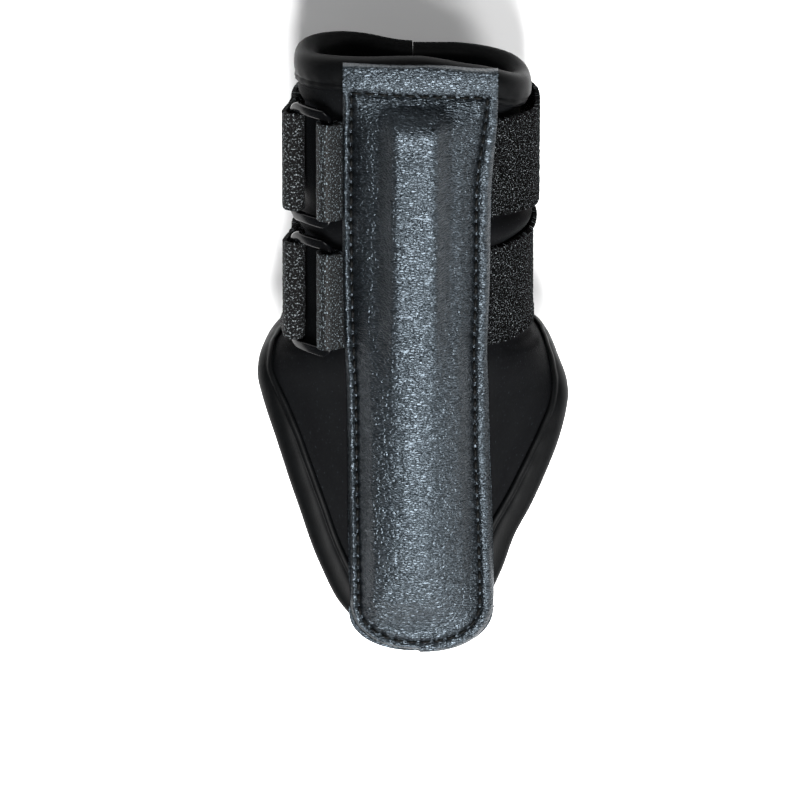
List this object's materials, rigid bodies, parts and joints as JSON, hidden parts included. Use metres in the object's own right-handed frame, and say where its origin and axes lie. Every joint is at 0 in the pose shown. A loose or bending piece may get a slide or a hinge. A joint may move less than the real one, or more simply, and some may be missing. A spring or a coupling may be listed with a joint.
{
  "type": "wrist guard",
  "caption": "Neoprene wrist guard with a splinted leather panel along the back of the hand and hook-and-loop straps that fold back through plastic rings.",
  "frame": {"origin": "middle of the footprint, on the surface that the guard's palm side lies on", "axes": "+Z out of the back of the hand, +Y up the forearm away from the fingers, +X towards the little-finger side of a left hand"},
  "size_m": [0.0814, 0.176, 0.0595],
  "materials": {
    "neoprene": "matt knitted jersey over neoprene foam",
    "binding": "smooth folded stretch tape",
    "leather": "semi-matt, fine wrinkled grain",
    "lining": "matt woven lining",
    "webbing": "ribbed elastic webbing",
    "loop_pile": "brushed loop pile",
    "hook_tape": "moulded hooks",
    "ring_plastic": "glossy moulded nylon",
    "thread": "bonded polyester thread",
    "foam": "matt closed-cell foam",
    "splint_metal": "plain rolled strip"
  },
  "bodies": {
    "guard": {"wrist_wrap": "neoprene", "rim_binding": "binding", "thumb_edge_binding": "binding", "little_finger_edge_binding": "binding", "thumb_end_binding": "binding", "little_finger_end_binding": "binding", "panel_backing": "lining", "splint_pad": "foam", "splint": "splint_metal", "panel_cover": "leather", "panel_stitching": "thread", "upper_ring_tab": "webbing", "lower_ring_tab": "webbing", "upper_strap": "loop_pile", "lower_strap": "loop_pile"},
    "upper_buckle": {"upper_ring": "ring_plastic", "upper_strap_fold": "webbing"},
    "upper_flap": {"upper_strap_tail": "webbing", "upper_hook_patch": "hook_tape"},
    "lower_buckle": {"lower_ring": "ring_plastic", "lower_strap_fold": "webbing"},
    "lower_flap": {"lower_strap_tail": "webbing", "lower_hook_patch": "hook_tape"}
  },
  "joints": [
    {"name": "upper_ring_swing", "type": "hinge", "parent": "guard", "child": "upper_buckle", "pos_m": [-0.02463, 0.0545, 0.04868], "axis": [0, 1, 0], "range_deg": [0, 20]},
    {"name": "upper_tail_peel", "type": "hinge", "parent": "upper_buckle", "child": "upper_flap", "pos_m": [-0.03911, 0.0545, 0.03823], "axis": [0, 1, 0], "range_deg": [0, 110]},
    {"name": "lower_ring_swing", "type": "hinge", "parent": "guard", "child": "lower_buckle", "pos_m": [-0.02463, 0.016, 0.04868], "axis": [0, 1, 0], "range_deg": [0, 20]},
    {"name": "lower_tail_peel", "type": "hinge", "parent": "lower_buckle", "child": "lower_flap", "pos_m": [-0.03911, 0.016, 0.03823], "axis": [0, 1, 0], "range_deg": [0, 110]}
  ]
}
